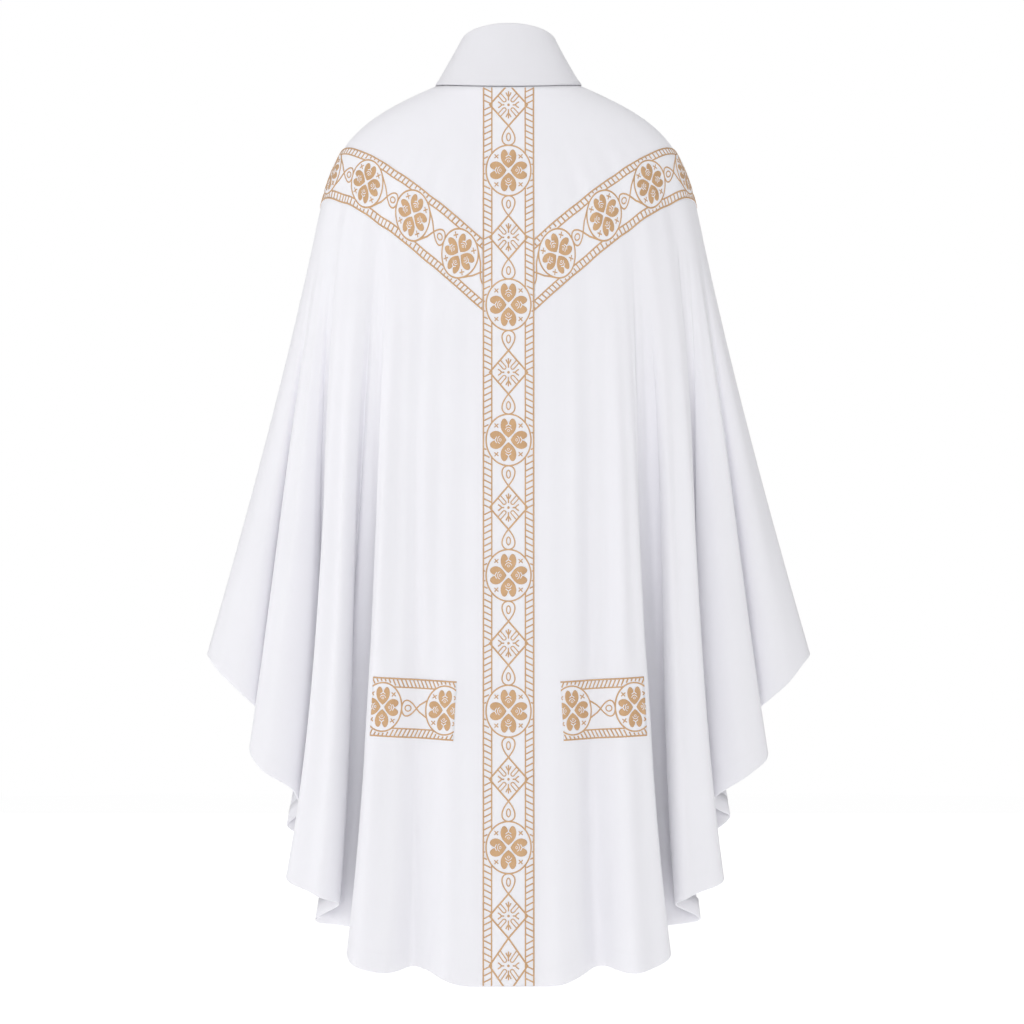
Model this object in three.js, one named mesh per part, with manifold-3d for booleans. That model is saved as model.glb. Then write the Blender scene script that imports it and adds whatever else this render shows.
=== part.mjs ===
import * as THREE from "three";
import { mergeVertices } from "three/addons/utils/BufferGeometryUtils.js";
import Module from "manifold-3d";

// A chasuble as it hangs on the shoulders: four cloth panels in deep folds, bands of galloon laid on
// them, and a stand-up collar of three layers.
// Millimetres. +Z is up, -Y is the wearer's back and +X the wearer's right-hand side.
// The origin is the middle of the neck opening, level with the neck ends of the shoulder seams.

// Hang of the garment.
const backLength = 1284; // neck level to the lowest point of the back hem
const sideLength = 822; // neck level to a sleeve tip
const halfSpan = 436; // centre to a sleeve tip
const hemHalfDepth = 205; // centre to the back hem
const middleHalfWidth = 354; // centre to the side, half way down
const middleHalfDepth = 165; // centre to the back, half way down
const frontDepthShare = 0.95; // the front hangs a little flatter than the back
const frontHemLift = 34; // the centre front hem hangs this much higher than the back hem

// Yoke: the level where the cloth leaves the shoulders and starts to hang.
const yokeDrop = 225;
const yokeHalfWidth = 282;
const yokeHalfDepth = 140;
const yokeSquareness = 2.5; // power of the superellipse; 2 is an ellipse
const foldStart = 0.5; // how directly the folds set off from the yoke, 0 to 1

// Neck and collar.
const neckHalfWidth = 106;
const neckHalfDepth = 74;
const backNeckDrop = 6;
const frontNeckDrop = 42;
const collarTopHalfWidth = 68;
const collarTopHalfDepth = 54;
const collarSideHeight = 66; // top edge above neck level, at the shoulders
const collarTilt = 22; // the top edge rises this much to the back and falls this much to the front
const collarRim = 6; // depth of the fold that closes the layers along the top
const collarSteps = 40; // flats round the collar

// Cloth thicknesses and the gap between touching pieces.
const clothThickness = 1.2;
const galloonThickness = 1.0;
const liningThickness = 0.8;
const interfacingThickness = 1.0;
const gap = 0.3;

// Galloon bands.
const columnWidth = 74;
const armWidth = 74;
const armSlope = 0.933; // rise of an arm per millimetre outwards
const armTilt = 0.453; // rise of an arm per millimetre from the shoulder seam towards the column
const armSeamDrop = 377; // level below the neck where the middle of an arm would meet the centre line
const patchWidth = 119;
const patchHeight = 85;
const patchInset = 75; // centre line to the near end of a patch
const patchDrop = 894; // neck level to the middle of a patch
const patchSlope = 0.055; // rise of a patch per millimetre outwards, as the cloth's own threads rise
const seamTapeWidth = 20;

const clothColour = 0xf4f3f6;
const goldColour = 0xd2a06c;
const interfacingColour = 0xe9e6df;

// The fold plan. Each row is a line down the cloth from the yoke to the hem, in order from the centre
// back to the shoulder seam: its distance out at the yoke, its distance out and back half way down,
// and its distance out and back at the hem, as shares of the sizes above, then how far its end at the
// hem is lifted, as a share of the rise from the back hem to a sleeve tip.
const foldPlan = [
  [0.0, 0.0, 1.0, 0.0, 1.0, 0.0], // centre
  [0.16, 0.13, 1.0, 0.11, 0.995, 0.0], // under the edge of the column
  [0.291, 0.243, 0.982, 0.206, 0.985, 0.017], // flat
  [0.418, 0.35, 0.903, 0.303, 0.8, 0.056], // shallow dip
  [0.525, 0.452, 0.939, 0.404, 0.946, 0.039], // crest of the middle fold
  [0.613, 0.545, 0.83, 0.53, 0.771, 0.091], // lip of the middle fold
  [0.638, 0.506, 0.545, 0.477, 0.507, 0.16], // behind the lip
  [0.66, 0.633, 0.376, 0.638, 0.39, 0.182], // first turn
  [0.681, 0.616, 0.618, 0.55, 0.566, 0.229], // near edge of the second fold
  [0.762, 0.684, 0.764, 0.624, 0.722, 0.266], // crest of the second fold
  [0.844, 0.754, 0.618, 0.718, 0.537, 0.327], // lip of the second fold
  [0.865, 0.706, 0.376, 0.651, 0.332, 0.411], // behind the lip
  [0.883, 0.774, 0.267, 0.722, 0.224, 0.468], // second turn
  [0.901, 0.757, 0.364, 0.67, 0.351, 0.532], // near edge of the third fold
  [0.922, 0.842, 0.461, 0.757, 0.478, 0.615], // crest of the third fold
  [0.943, 0.898, 0.352, 0.844, 0.351, 0.697], // lip of the third fold
  [0.961, 0.904, 0.218, 0.814, 0.166, 0.805], // valley
  [0.979, 0.949, 0.267, 0.885, 0.234, 0.883], // fourth fold
  [1.0, 1.0, 0.0, 1.0, 0.0, 1.0], // shoulder seam, down to the sleeve tip
];
const secondTurn = 12; // row of the plan
const rightTurnLift = 0.026; // that turn sits a little higher on the right
const seamLine = foldPlan.length - 1; // u of the shoulder seam; u is 0 at centre back
const frontLine = 2 * seamLine; // u of centre front

// Lines of the mesh: u runs round the body, v is 0 at the neck, 1 at the yoke and 2 at the hem.
const flatLines = 4; // the plan's first rows are nearly flat and need no line between them
const lipLine = 5; // lip of the middle fold, the edge of the cloth that galloon is laid on below the yoke
const backLines = [];
for (let u = 0; u <= seamLine; u += u < flatLines ? 1 : 0.5) {
  backLines.push(u);
}
const frontLines = backLines.map((u) => frontLine - u).reverse();
const upperRows = 4;
const lowerRows = 8;
const levels = [];
for (let row = 0; row < upperRows; row++) {
  levels.push(row / upperRows);
}
for (let row = 0; row <= lowerRows; row++) {
  levels.push(1 + row / lowerRows);
}
const facingLevels = levels.slice(0, 2);
const armLevels = levels.filter((v) => v < 1.5);

const wasm = await Module();
wasm.setup();

// The plan's rows round one half of the garment in millimetres, from centre back to centre front:
// [angle round the neck, middle x, middle y, hem x, hem y, hem z].
function foldRows(side) {
  const back = foldPlan.map(([yoke, midX, midY, hemX, hemY, lift], row) => {
    const extra = side > 0 && row === secondTurn ? rightTurnLift : 0;
    return [
      Math.asin(yoke ** (yokeSquareness / 2)),
      midX * middleHalfWidth,
      -midY * middleHalfDepth,
      hemX * halfSpan,
      -hemY * hemHalfDepth,
      (lift + extra) * (backLength - sideLength) - backLength,
    ];
  });
  const front = back.slice(0, -1).map(([angle, midX, midY, hemX, hemY, hemZ]) => [
    Math.PI - angle,
    midX,
    -midY * frontDepthShare,
    hemX,
    -hemY * frontDepthShare,
    hemZ + frontHemLift * Math.cos(angle),
  ]);
  return [...back, ...front.reverse()];
}

function mirroredRow([angle, midX, midY, hemX, hemY, hemZ], centreAngle) {
  return [2 * centreAngle - angle, -midX, midY, -hemX, hemY, hemZ];
}

// Control rows of the cubic B-spline that passes through every row of the plan.
function splineControls(rows) {
  const controls = [mirroredRow(rows[1], 0), ...rows, mirroredRow(rows.at(-2), Math.PI)];
  for (let round = 0; round < 16; round++) {
    rows.forEach((row, i) => {
      controls[i + 1] = row.map((value, k) => (6 * value - controls[i][k] - controls[i + 2][k]) / 4);
    });
    controls[0] = mirroredRow(controls[2], 0);
    controls[rows.length + 1] = mirroredRow(controls[rows.length - 1], Math.PI);
  }
  return controls;
}

const controls = { "-1": splineControls(foldRows(-1)), 1: splineControls(foldRows(1)) };

function splineAt(rows, u) {
  const first = THREE.MathUtils.clamp(Math.floor(u), 0, frontLine - 1);
  const t = u - first;
  const weights = [
    (1 - t) ** 3 / 6,
    (3 * t ** 3 - 6 * t ** 2 + 4) / 6,
    (-3 * t ** 3 + 3 * t ** 2 + 3 * t + 1) / 6,
    t ** 3 / 6,
  ];
  return rows[0].map((_, k) =>
    weights.reduce((sum, weight, i) => sum + weight * rows[first + i][k], 0),
  );
}

function neckPoint(angle) {
  const back = Math.cos(angle);
  const drop = back > 0 ? backNeckDrop : frontNeckDrop;
  const x = neckHalfWidth * Math.sin(angle);
  return new THREE.Vector3(x, -neckHalfDepth * back, -drop * back ** 2);
}

function yokePoint(angle) {
  const power = (value) => Math.sign(value) * Math.abs(value) ** (2 / yokeSquareness);
  const x = yokeHalfWidth * power(Math.sin(angle));
  return new THREE.Vector3(x, -yokeHalfDepth * power(Math.cos(angle)), -yokeDrop);
}

// A point part of the way from start to end, with one share for x and y and another for z.
function between(start, end, across, down) {
  const point = start.clone().lerp(end, across);
  point.z = THREE.MathUtils.lerp(start.z, end.z, down);
  return point;
}

// From the neck over the shoulder to the yoke: a Bezier curve, square at the sides and soft behind.
function shoulderCurve(angle) {
  const neck = neckPoint(angle);
  const yoke = yokePoint(angle);
  const sideways = Math.sin(angle) ** 2;
  const first = between(neck, yoke, 0.5 + 0.24 * sideways, 0.33 - 0.08 * sideways);
  const second = between(neck, yoke, 0.95 - 0.1 * sideways, 0.67 - 0.27 * sideways);
  return new THREE.CubicBezierCurve3(neck, first, second, yoke);
}

// One coordinate below the yoke: a cubic that starts at the yoke, passes the middle and ends at the hem.
function hangingCubic(start, startSlope, middle, end, fall, t) {
  const slope = THREE.MathUtils.lerp(startSlope * fall, 2 * (middle - start), foldStart);
  const toMiddle = middle - start - slope / 2;
  const toEnd = end - start - slope;
  const square = 8 * toMiddle - toEnd;
  const cube = 2 * toEnd - 8 * toMiddle;
  return start + slope * t + square * t ** 2 + cube * t ** 3;
}

function clothPoint(side, u, v) {
  const [angle, midX, midY, hemX, hemY, hemZ] = splineAt(controls[side], u);
  const shoulder = shoulderCurve(angle);
  const point = new THREE.Vector3();
  if (v < 1) {
    shoulder.getPoint(v, point);
  } else {
    const yoke = shoulder.v3;
    const lead = yoke.clone().sub(shoulder.v2);
    const fall = hemZ - yoke.z;
    const x = hangingCubic(yoke.x, lead.x / lead.z, midX, hemX, fall, v - 1);
    const y = hangingCubic(yoke.y, lead.y / lead.z, midY, hemY, fall, v - 1);
    point.set(x, y, yoke.z + fall * (v - 1));
  }
  point.x *= side;
  return point;
}

// A point on the middle of the cloth with its outward normal.
function clothSample(side, u, v) {
  const step = 0.002;
  const above = clothPoint(side, u, Math.max(v - step, 0));
  const below = clothPoint(side, u, Math.min(v + step, 2));
  const around = clothPoint(side, u + step, v).sub(clothPoint(side, u - step, v));
  const normal = below.sub(above).cross(around).multiplyScalar(side).normalize();
  return { u, point: clothPoint(side, u, v), normal };
}

function clothGrid(side, lines, rows) {
  return lines.map((u) => rows.map((v) => clothSample(side, u, v)));
}

// A grid that crosses a centre line: the left half's lines, then the right half's.
function centreGrid(lines, rows) {
  const left = clothGrid(-1, lines, rows);
  const right = clothGrid(1, lines, rows);
  return lines[0] === 0
    ? [...left.slice(1).reverse(), ...right]
    : [...left, ...right.slice(0, -1).reverse()];
}

// A closed solid from points and quads, turned so that its faces point outwards.
function solidFromQuads(points, quads) {
  const geometry = new THREE.BufferGeometry().setFromPoints(points);
  geometry.setIndex(quads.flatMap(([a, b, c, d]) => [a, b, c, a, c, d]));
  return solidFromGeometry(geometry);
}

function solidFromGeometry(geometry) {
  const bare = new THREE.BufferGeometry();
  bare.setAttribute("position", geometry.getAttribute("position"));
  bare.setIndex(geometry.index);
  const merged = mergeVertices(bare, 1e-4);
  const vertProperties = merged.attributes.position.array;
  const triVerts = new Uint32Array(merged.index.array);
  const solid = new wasm.Manifold(new wasm.Mesh({ numProp: 3, vertProperties, triVerts }));
  if (solid.volume() > 0) {
    return solid;
  }
  triVerts.reverse();
  return new wasm.Manifold(new wasm.Mesh({ numProp: 3, vertProperties, triVerts }));
}

// A layer of cloth over a grid, from one offset along the normals to another. A closed layer joins its
// last line to its first.
function layer(grid, from, to, { closed = false, place = (point) => point } = {}) {
  const rows = grid[0].length;
  const offsets = [from, to];
  const points = grid.flatMap((line) =>
    line.flatMap(({ point, normal }) =>
      offsets.map((offset) => place(point.clone().addScaledVector(normal, offset))),
    ),
  );
  const at = (line, row, face) => 2 * ((line % grid.length) * rows + row) + face;
  const quads = [];
  const spans = closed ? grid.length : grid.length - 1;
  for (let i = 0; i < spans; i++) {
    // Every layer over the same place is split along the same diagonal, whichever way its lines run.
    const rising = grid[i][0].u < grid[(i + 1) % grid.length][0].u;
    for (let j = 0; j + 1 < rows; j++) {
      const outer = [at(i, j, 1), at(i, j + 1, 1), at(i + 1, j + 1, 1), at(i + 1, j, 1)];
      const inner = [at(i, j, 0), at(i + 1, j, 0), at(i + 1, j + 1, 0), at(i, j + 1, 0)];
      for (const [first, ...others] of [outer, inner]) {
        quads.push(rising ? [first, ...others] : [...others, first]);
      }
    }
    const end = rows - 1;
    quads.push([at(i, 0, 0), at(i, 0, 1), at(i + 1, 0, 1), at(i + 1, 0, 0)]);
    quads.push([at(i, end, 0), at(i + 1, end, 0), at(i + 1, end, 1), at(i, end, 1)]);
  }
  if (!closed) {
    for (let j = 0; j + 1 < rows; j++) {
      quads.push([at(0, j, 0), at(0, j + 1, 0), at(0, j + 1, 1), at(0, j, 1)]);
      quads.push([at(spans, j, 0), at(spans, j, 1), at(spans, j + 1, 1), at(spans, j + 1, 0)]);
    }
  }
  return solidFromQuads(points, quads);
}

// A box between two corners, as a cutting solid.
function boxCutter(low, high) {
  const size = new THREE.Vector3().subVectors(high, low);
  const centre = new THREE.Vector3().addVectors(low, high).multiplyScalar(0.5);
  const geometry = new THREE.BoxGeometry(size.x, size.y, size.z);
  return solidFromGeometry(geometry.translate(centre.x, centre.y, centre.z));
}

const reach = 2 * backLength; // longer than anything that a cutter has to clear

// Everything on one side of the centre line and in front of or behind the shoulder seams, from the
// given distance out.
function quarterCutter(side, facing, fromX) {
  const x = [side * fromX, side * reach].sort((a, b) => a - b);
  const y = [(facing * gap) / 2, facing * reach].sort((a, b) => a - b);
  return boxCutter(new THREE.Vector3(x[0], y[0], -reach), new THREE.Vector3(x[1], y[1], reach));
}

// The slanting slab that an arm of the galloon is cut to.
function armCutter(side, facing) {
  const up = new THREE.Vector3(-side * armSlope, -facing * armTilt, 1).normalize();
  const turn = new THREE.Quaternion().setFromUnitVectors(new THREE.Vector3(0, 0, 1), up);
  const slab = new THREE.BoxGeometry(reach, reach, armWidth);
  return solidFromGeometry(slab.applyQuaternion(turn).translate(0, 0, -armSeamDrop));
}

const back = -1;
const front = 1;
const galloonFrom = clothThickness / 2 + gap;
const galloonTo = galloonFrom + galloonThickness;

function panel(side, facing) {
  const grid = clothGrid(side, facing === back ? backLines : frontLines, levels);
  const place = (point) => {
    point.x = side * Math.max(side * point.x, gap / 2);
    point.y = facing * Math.max(facing * point.y, gap / 2);
    return point;
  };
  return layer(grid, -clothThickness / 2, clothThickness / 2, { place });
}

function columnGalloon(facing) {
  const lines = facing === back ? backLines : frontLines;
  const middle = lines.filter((u) => Math.min(u, frontLine - u) <= lipLine);
  const sheet = layer(centreGrid(middle, levels), galloonFrom, galloonTo);
  const half = columnWidth / 2;
  const low = new THREE.Vector3(-half, -reach, -reach);
  return sheet.intersect(boxCutter(low, new THREE.Vector3(half, reach, reach)));
}

function armGalloon(side, facing) {
  const grid = clothGrid(side, facing === back ? backLines : frontLines, armLevels);
  const sheet = layer(grid, galloonFrom, galloonTo);
  const clear = quarterCutter(side, facing, columnWidth / 2 + gap);
  return sheet.intersect(clear).intersect(armCutter(side, facing));
}

function patchGalloon(side, facing) {
  const lines = facing === back ? backLines : frontLines;
  const middle = lines.filter((u) => Math.min(u, frontLine - u) <= lipLine);
  const sheet = layer(clothGrid(side, middle, levels), galloonFrom, galloonTo);
  const cutter = new THREE.BoxGeometry(patchWidth, reach, patchHeight);
  cutter.rotateY(-side * Math.atan(patchSlope));
  cutter.translate(side * (patchInset + patchWidth / 2), facing * reach / 2, -patchDrop);
  return sheet.intersect(solidFromGeometry(cutter));
}

// The band of cloth behind the neck seam, all the way round.
function neckFacing() {
  const lines = [...backLines, ...frontLines.slice(1)];
  const right = clothGrid(1, lines, facingLevels);
  const left = clothGrid(-1, lines, facingLevels);
  const ring = [...right, ...left.slice(1, -1).reverse()];
  const from = -clothThickness / 2 - gap;
  return layer(ring, from - liningThickness, from, { closed: true });
}

// The tape behind a shoulder seam, from the neck facing to the sleeve tip.
function seamTape(side) {
  const lines = [...backLines.slice(-4), ...frontLines.slice(1, 4)];
  const grid = clothGrid(side, lines, levels.slice(facingLevels.length - 1));
  const shorten = (line) => {
    const [first, second] = line;
    const length = first.point.distanceTo(second.point);
    return [{ ...first, point: first.point.clone().lerp(second.point, gap / length) }, ...line.slice(1)];
  };
  const from = -clothThickness / 2 - gap;
  const sheet = layer(grid.map(shorten), from - liningThickness, from);
  const half = seamTapeWidth / 2;
  const low = new THREE.Vector3(-reach, -half, -reach);
  return sheet.intersect(boxCutter(low, new THREE.Vector3(reach, half, reach)));
}

const collarSeat = clothThickness / 2 + galloonThickness + 2 * gap; // seam allowance under the collar
const interfacingInset = clothThickness + gap;
const liningInset = interfacingInset + interfacingThickness + gap;
const collarInset = liningInset + liningThickness; // whole thickness of the collar wall

// A point of the collar: an angle round the neck, a depth into the wall, a share of the height and a
// distance added to it.
function collarPoint(angle, inset, share, extra) {
  const low = neckPoint(angle).z + collarSeat;
  const high = collarSideHeight + collarTilt * Math.cos(angle);
  const z = THREE.MathUtils.lerp(low, high, share) + extra;
  const height = (z - low) / (high - low);
  const halfWidth = THREE.MathUtils.lerp(neckHalfWidth, collarTopHalfWidth, height) - inset;
  const halfDepth = THREE.MathUtils.lerp(neckHalfDepth, collarTopHalfDepth, height) - inset;
  return new THREE.Vector3(halfWidth * Math.sin(angle), -halfDepth * Math.cos(angle), z);
}

// A ring of the collar from its section, a closed list of [inset, share of height, distance added].
function collarRing(section) {
  const points = [];
  const quads = [];
  const count = section.length;
  for (let i = 0; i < collarSteps; i++) {
    const angle = (2 * Math.PI * i) / collarSteps;
    points.push(...section.map((corner) => collarPoint(angle, ...corner)));
    const next = (i + 1) % collarSteps;
    for (let j = 0; j < count; j++) {
      const beside = (j + 1) % count;
      const [a, ...others] = [i * count + j, next * count + j, next * count + beside, i * count + beside];
      // Walls that face each other are split along the same diagonal.
      const rising = section[j][1] <= section[beside][1];
      quads.push(rising ? [a, ...others] : [...others, a]);
    }
  }
  return solidFromQuads(points, quads);
}

function collarOuter() {
  return collarRing([
    [0, 0, 0],
    [0, 1, 0],
    [collarInset, 1, 0],
    [collarInset, 1, -collarRim],
    [clothThickness, 1, -collarRim],
    [clothThickness, 0, 0],
  ]);
}

function collarLayer(inset, thickness) {
  return collarRing([
    [inset, 0, 0],
    [inset, 1, -collarRim - gap],
    [inset + thickness, 1, -collarRim - gap],
    [inset + thickness, 0, 0],
  ]);
}

const finishes = {
  cloth: new THREE.MeshStandardMaterial({ color: clothColour, roughness: 0.8, metalness: 0 }),
  galloon: new THREE.MeshStandardMaterial({ color: goldColour, roughness: 0.55, metalness: 0.1 }),
  interfacing: new THREE.MeshStandardMaterial({ color: interfacingColour, roughness: 0.9, metalness: 0 }),
};

const chasuble = new THREE.Group();

function addPiece(name, solid, finish) {
  const { vertProperties, triVerts } = solid.getMesh();
  const geometry = new THREE.BufferGeometry();
  geometry.setAttribute("position", new THREE.BufferAttribute(vertProperties, 3));
  geometry.setIndex(new THREE.BufferAttribute(triVerts, 1));
  geometry.computeVertexNormals();
  const mesh = new THREE.Mesh(geometry, finishes[finish]);
  mesh.name = name;
  chasuble.add(mesh);
}

for (const [facingName, facing] of [["back", back], ["front", front]]) {
  addPiece(`${facingName}_column_galloon`, columnGalloon(facing), "galloon");
  for (const [sideName, side] of [["left", -1], ["right", 1]]) {
    const name = `${facingName}_${sideName}`;
    addPiece(`${name}_panel`, panel(side, facing), "cloth");
    addPiece(`${name}_arm_galloon`, armGalloon(side, facing), "galloon");
    addPiece(`${name}_patch_galloon`, patchGalloon(side, facing), "galloon");
  }
}
addPiece("left_shoulder_seam_tape", seamTape(-1), "cloth");
addPiece("right_shoulder_seam_tape", seamTape(1), "cloth");
addPiece("neck_facing", neckFacing(), "cloth");
addPiece("collar_outer", collarOuter(), "cloth");
addPiece("collar_interfacing", collarLayer(interfacingInset, interfacingThickness), "interfacing");
addPiece("collar_lining", collarLayer(liningInset, liningThickness), "cloth");

export default chasuble;
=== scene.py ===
"""A chasuble seen from the back: four panels of white cloth in deep folds, a stand-up collar and
bands of woven galloon whose gold pattern is raised thread.

Metres; +Z is up, -Y the wearer's back, +X the wearer's right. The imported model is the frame.
"""

import math

import bmesh
import bpy
import numpy as np
from mathutils import Matrix, Vector
from mathutils.bvhtree import BVHTree


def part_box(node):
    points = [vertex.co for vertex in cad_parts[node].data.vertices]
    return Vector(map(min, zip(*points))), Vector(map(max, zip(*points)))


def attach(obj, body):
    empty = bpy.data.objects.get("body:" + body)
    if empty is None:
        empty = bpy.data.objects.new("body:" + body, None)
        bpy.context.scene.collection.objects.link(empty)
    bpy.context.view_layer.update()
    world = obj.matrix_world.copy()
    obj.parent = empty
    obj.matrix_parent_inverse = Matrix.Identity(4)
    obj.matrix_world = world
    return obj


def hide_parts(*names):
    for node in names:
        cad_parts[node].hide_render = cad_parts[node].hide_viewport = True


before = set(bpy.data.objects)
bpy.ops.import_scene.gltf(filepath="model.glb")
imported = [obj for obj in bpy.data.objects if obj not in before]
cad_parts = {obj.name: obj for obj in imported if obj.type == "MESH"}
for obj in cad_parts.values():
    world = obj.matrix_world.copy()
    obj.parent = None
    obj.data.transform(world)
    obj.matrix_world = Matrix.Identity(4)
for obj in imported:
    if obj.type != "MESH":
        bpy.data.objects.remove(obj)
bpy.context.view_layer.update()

# ---- sizes

CLOTH = 0.0007  # thickness of the panels' cloth
HEM_WIDTH = 0.028  # cloth turned up inside the hem
HEM_GAP = 0.0016  # a column ends this far above the hem
TAPE = 0.0009  # thickness of the galloon's white ground
PANEL_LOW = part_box("back_left_panel")[0]
LENGTH = -PANEL_LOW.z  # neck level to the back hem
HALF_SPAN = -PANEL_LOW.x  # centre to a sleeve tip
HEM_DEPTH = -PANEL_LOW.y  # centre to the back hem
SIDE_LENGTH = 0.822  # neck level to a sleeve tip
MIDDLE_WIDTH = 0.354  # half the width half way down
MIDDLE_DEPTH = 0.165  # centre to the back half way down
FRONT_SHARE = 0.95  # the front's depth to the back's
FRONT_LIFT = 0.034  # the front hem above the back hem
YOKE_DROP = 0.225  # neck level to the line over the shoulders where folds start
YOKE_WIDTH = 0.282  # half the width of that line
YOKE_DEPTH = 0.140  # centre to that line at the back
YOKE_POWER = 2.5  # squareness of that line; 2 is an ellipse
FOLD_START = 0.5  # 0 carries the yoke's slope on, 1 turns at once into the folds
NECK_WIDTH = 0.106  # half the neck seam
NECK_DEPTH = 0.074
BACK_DROP = 0.006  # dip of the neck seam at centre back
FRONT_DROP = 0.042  # and at centre front
COLLAR_TOP_WIDTH = 0.068  # half the collar's top edge
COLLAR_TOP_DEPTH = 0.054
COLLAR_SIDE = 0.066  # neck level to its top at the sides
COLLAR_TILT = 0.022  # higher by this at the back, lower at the front
COLUMN_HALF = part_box("back_column_galloon")[1].x
ARM_HALF = 0.037
ARM_SLOPE = 0.933  # rise of the slanting bands for each step out
ARM_TILT = 0.453  # and for each step towards the back or the front
ARM_DROP = 0.377  # neck level to where their planes meet, inside
PATCH_LENGTH = 0.119
PATCH_HALF = 0.0425
PATCH_INSET = 0.075  # centre to a patch's near end
PATCH_DROP = 0.894  # neck level to a patch's middle
PATCH_SLOPE = 0.055  # rise of a patch for each step out

# Lines down the cloth from the yoke to the hem, from centre back to the shoulder seam: distance out
# at the yoke, distance out and back half way down, the same two at the hem, lift of the hem.
FOLD_PLAN = [
    (0.0, 0.0, 1.0, 0.0, 1.0, 0.0),  # centre
    (0.16, 0.13, 1.0, 0.11, 0.995, 0.0),  # under the edge of the column
    (0.291, 0.243, 0.982, 0.206, 0.985, 0.017),  # flat
    (0.418, 0.35, 0.903, 0.303, 0.8, 0.056),  # shallow dip
    (0.515, 0.452, 0.939, 0.404, 0.946, 0.039),  # crest of the middle fold
    (0.59, 0.545, 0.83, 0.53, 0.771, 0.091),  # lip of the middle fold
    (0.63, 0.506, 0.6, 0.477, 0.56, 0.16),  # behind the lip
    (0.665, 0.633, 0.49, 0.638, 0.49, 0.182),  # first turn
    (0.7, 0.616, 0.618, 0.55, 0.566, 0.229),  # near edge of the second fold
    (0.77, 0.684, 0.764, 0.624, 0.722, 0.266),  # crest of the second fold
    (0.844, 0.754, 0.618, 0.718, 0.537, 0.327),  # lip of the second fold
    (0.865, 0.706, 0.376, 0.651, 0.332, 0.411),  # behind the lip
    (0.883, 0.774, 0.297, 0.722, 0.26, 0.468),  # second turn
    (0.901, 0.757, 0.364, 0.67, 0.351, 0.532),  # near edge of the third fold
    (0.922, 0.842, 0.461, 0.757, 0.478, 0.615),  # crest of the third fold
    (0.943, 0.898, 0.352, 0.844, 0.351, 0.697),  # lip of the third fold
    (0.961, 0.904, 0.218, 0.814, 0.166, 0.805),  # valley
    (0.979, 0.949, 0.267, 0.885, 0.234, 0.883),  # fourth fold
    (1.0, 1.0, 0.0, 1.0, 0.0, 1.0),  # shoulder seam, down to the sleeve tip
]
RIGHT_NARROWER = (7, 9, 10, 11)  # rows of the right half that stand further in at the hem
RIGHT_FOLD_IN = 0.022  # share of HALF_SPAN
SECOND_TURN = 12  # the row that hangs higher on the right
RIGHT_TURN_LIFT = 0.026  # share of the way up to a sleeve tip
SEAM = len(FOLD_PLAN) - 1  # u of the shoulder seam; u is 0 at centre back
FRONT = 2 * SEAM  # u of centre front
SIDES = {"left": -1, "right": 1}
FACINGS = {"back": -1, "front": 1}

# ---- the shape of the hanging cloth


def fold_rows(side):
    """The plan round one half in metres: angle, middle x, middle y, hem x, hem y, hem z."""
    back = []
    for row, (yoke, mid_x, mid_y, hem_x, hem_y, lift) in enumerate(FOLD_PLAN):
        lift += RIGHT_TURN_LIFT if side > 0 and row == SECOND_TURN else 0
        hem_x -= RIGHT_FOLD_IN if side > 0 and row in RIGHT_NARROWER else 0
        back.append([
            math.asin(yoke ** (YOKE_POWER / 2)),
            mid_x * MIDDLE_WIDTH,
            -mid_y * MIDDLE_DEPTH,
            hem_x * HALF_SPAN,
            -hem_y * HEM_DEPTH,
            lift * (LENGTH - SIDE_LENGTH) - LENGTH,
        ])
    back = np.array(back)
    front = back[:-1][::-1] * [-1, 1, -FRONT_SHARE, 1, -FRONT_SHARE, 1]
    front[:, 5] += FRONT_LIFT * np.cos(front[:, 0])
    front[:, 0] += math.pi
    return np.vstack([back, front])


def mirrored(row, centre_angle):
    """A row of the plan on the other half, seen across centre back or centre front."""
    return row * [-1, -1, 1, -1, 1, 1] + [2 * centre_angle, 0, 0, 0, 0, 0]


def spline_controls(rows):
    """Control rows of the cubic B-spline that passes through every row."""
    controls = np.vstack([mirrored(rows[1], 0), rows, mirrored(rows[-2], math.pi)])
    for _ in range(16):
        for i, row in enumerate(rows):
            controls[i + 1] = (6 * row - controls[i] - controls[i + 2]) / 4
        controls[0] = mirrored(controls[2], 0)
        controls[-1] = mirrored(controls[-3], math.pi)
    return controls


CONTROLS = {side: spline_controls(fold_rows(side)) for side in SIDES.values()}


def spline(controls, u):
    """Values of the cubic B-spline at an array of u."""
    first = np.clip(np.floor(u).astype(int), 0, FRONT - 1)
    t = (u - first)[..., None]
    return (
        (1 - t) ** 3 * controls[first]
        + (3 * t**3 - 6 * t**2 + 4) * controls[first + 1]
        + (-3 * t**3 + 3 * t**2 + 3 * t + 1) * controls[first + 2]
        + t**3 * controls[first + 3]
    ) / 6


def neck_line(angle):
    """The neck seam: an ellipse that dips at the back and more at the front."""
    back = np.cos(angle)
    drop = np.where(back > 0, BACK_DROP, FRONT_DROP)
    return NECK_WIDTH * np.sin(angle), -NECK_DEPTH * back, -drop * back**2


def yoke_line(angle):
    """The line over the shoulders: a rounded oblong."""

    def power(value):
        return np.sign(value) * np.abs(value) ** (2 / YOKE_POWER)

    return YOKE_WIDTH * power(np.sin(angle)), -YOKE_DEPTH * power(np.cos(angle))


def hem_walk(side):
    """Distance round the hem at each row of the plan, from centre back."""
    steps = np.linalg.norm(np.diff(fold_rows(side)[:, 3:5], axis=0), axis=1)
    return np.concatenate([[0.0], np.cumsum(steps)])


HEM_WALK = {side: hem_walk(side) for side in SIDES.values()}


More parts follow.
